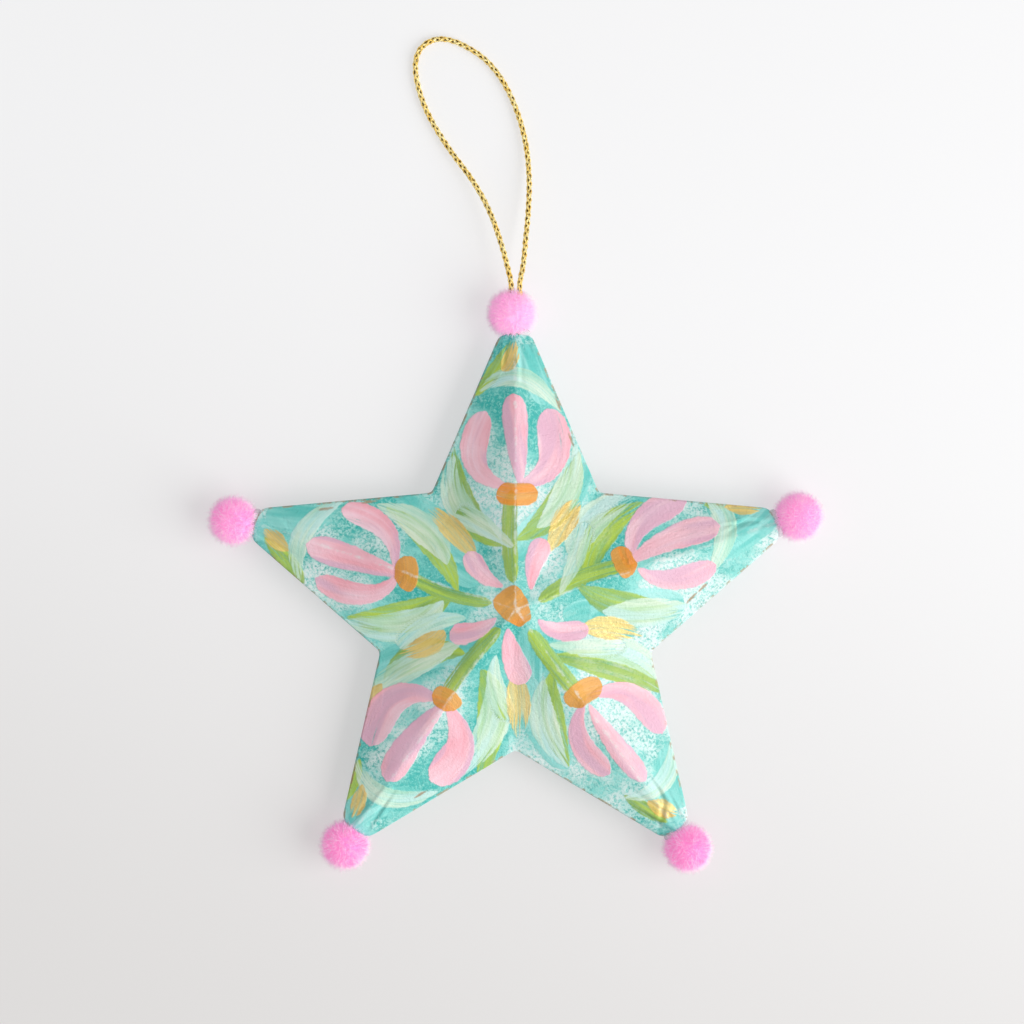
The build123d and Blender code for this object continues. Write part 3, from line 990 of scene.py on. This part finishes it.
def makeSeam(material):
    # four rings, the corners of its section: inner low, outer low, outer high, inner high
    outline, outward = starOutline()
    outer, inner = outline - paper["seamInset"] * outward, outline - paper["land"] * outward
    low, high = paper["seamBack"], paper["seamFront"]
    corners = ((inner, low), (outer, low), (outer, high), (inner, high))
    points = np.concatenate([np.c_[ring, np.full(len(ring), z)] for ring, z in corners])
    return newPiece("seam", points, [gridFaces(4, len(outline), wrapRows=True)], material, smooth=False)


seam = makeSeam(newMaterial("seam_glue", seamLook))
placeOnStar(seam, "seam_glue")
print("seam made")


# CAD pieces that stay: the threads in the piles and the cord's hidden end

def threadLook(tree):
    # fine bands across the thread
    twist = grain(tree, millimetres(tree, (1, 1, 3)), 3.0, 2.0)
    colour = blend(tree, twist, srgb(206, 104, 160), srgb(246, 178, 216))
    return {"Base Color": colour, "Roughness": 0.8}


def hiddenCordLook(tree):
    # the same gold, from the piece's own place: slanted bands of film and dark core
    inputs = {"Vector": millimetres(tree), "Scale": 0.22, "Distortion": 1.2}
    band = newNode(tree, "TexWave", inputs, bands_direction="DIAGONAL").outputs["Fac"]
    film = ease(tree, band, 0.15, 0.5)
    colour = blend(tree, film, srgb(96, 66, 18), srgb(236, 192, 78))
    return {"Base Color": colour, "Metallic": 0.75, "Roughness": 0.34}


thread = newMaterial("binding_thread", threadLook)
hiddenCord = newMaterial("gold_cord_hidden", hiddenCordLook)
looks = {"cord_tails": hiddenCord, "cord_knot": hiddenCord, "cord_cut_ends": hiddenCord}
looks.update({"pom_binding_" + armName: thread for armName in arms})
for node, look in looks.items():
    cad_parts[node].data.materials.clear()
    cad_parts[node].data.materials.append(look)
print("CAD pieces dressed", len(looks))


# Table and light
setting = {
    "floorSize": 6000.0,
    "floorDrop": 0.1,
    "floorLight": srgb(250, 250, 251),
    "floorDark": srgb(228, 226, 225),
    "floorShade": (0.2, 0.8),  # x and y of the way in which the painted light on the table rises
    "floorShadeEdge": (-100.0, 70.0),
    "shadowRelief": 0.58,  # share of its own white that the camera sees near the star
    "reliefEdge": (130.0, 330.0),  # from the origin: the share rises to all of it
    "wallEdge": (170.0, 420.0),  # from the origin: the table's white fades to the wall's
    "wallColour": srgb(240, 240, 240),
    "wallInset": 0.98,  # share of the table's half width
    "wallSides": 96,
    "worldLevel": 0.42,
    "keyLevel": 0.66,  # share of full light that the key gives the table
    "keyColour": (1.0, 0.995, 0.985),
    "keyHeading": -18.0,  # towards the lamp, from +X
    "keyElevation": 38.0,
    "keyDistance": 900.0,
    "keySize": 800.0,
}


def keyLamp():
    # power for the key's level on a level table: that level times pi squared times distance cubed over height
    distance = setting["keyDistance"] * mm
    flat, rise = polar(distance, setting["keyElevation"])
    data = bpy.data.lights.new("keyLamp", "AREA")
    data.size = setting["keySize"] * mm
    data.energy = setting["keyLevel"] * np.pi ** 2 * distance ** 3 / rise
    data.color = setting["keyColour"]
    lamp = bpy.data.objects.new("keyLamp", data)
    lamp.location = (*polar(flat, setting["keyHeading"]), rise)
    lamp.rotation_euler = np.radians([90 - setting["keyElevation"], 0, setting["keyHeading"] + 90])
    scene.collection.objects.link(lamp)


def glowToCamera(tree, shader, colour, share):
    # to the camera a share of plain colour, the rest and all other light by the shader
    glow = newNode(tree, "Emission", {"Color": colour}).outputs[0]
    factor = times(tree, newNode(tree, "LightPath", {}).outputs["Is Camera Ray"], share)
    both = newNode(tree, "MixShader", {0: factor, 1: shader.outputs[0], 2: glow}).outputs[0]
    wire(tree, tree.nodes["Material Output"].inputs["Surface"], both)


def tableLook(tree):
    # white card with painted light and shade: lighter towards the top of the picture, darker towards the
    # bottom; seen by the camera it holds back over half of its shadows, as the bright photograph does, and
    # far out it fades to the wall
    place = millimetres(tree)
    x, y, _ = newNode(tree, "SeparateXYZ", {0: place}).outputs
    shareX, shareY = setting["floorShade"]
    slope = plus(tree, times(tree, x, shareX), times(tree, y, shareY))
    lit = ease(tree, slope, *setting["floorShadeEdge"])
    colour = blend(tree, lit, setting["floorDark"], setting["floorLight"])
    distance = newNode(tree, "VectorMath", {0: place}, operation="LENGTH").outputs["Value"]
    fading = blend(tree, ease(tree, distance, *setting["wallEdge"]), colour, setting["wallColour"])
    near = setting["shadowRelief"]
    relief = timesPlus(tree, ease(tree, distance, *setting["reliefEdge"]), 1 - near, near)
    glowToCamera(tree, tree.nodes["Principled BSDF"], fading, relief)
    return {"Base Color": colour, "Roughness": 0.9, "Specular IOR Level": 0.1}


def backdropLook(tree):
    # pale for the camera, clear to the light
    glowToCamera(tree, newNode(tree, "BsdfTransparent", {}), setting["wallColour"], 1.0)
    return {}


half = setting["floorSize"] / 2
floorZ = -setting["floorDrop"]
corners = np.array([(x * half, y * half, floorZ) for x, y in ((-1, -1), (1, -1), (1, 1), (-1, 1))])
table = newPiece("table", corners, [np.array([[0, 1, 2, 3]])], newMaterial("table", tableLook), smooth=False)
around = np.linspace(0, 360, setting["wallSides"], endpoint=False)
wallRing = np.stack([*polar(half * setting["wallInset"], around), 0 * around], 1)
wallRings = np.r_[wallRing + [0, 0, floorZ], wallRing + [0, 0, half]]
wallFaces = [gridFaces(2, setting["wallSides"])]
backdrop = newPiece("backdrop", wallRings, wallFaces, newMaterial("backdrop", backdropLook))
world = bpy.data.worlds.new("world")
world.use_nodes = True
sky = {"Color": srgb(255, 255, 255), "Strength": setting["worldLevel"]}
dress(world.node_tree, world.node_tree.nodes["Background"], sky)
scene.world = world
keyLamp()
print("table and light set")
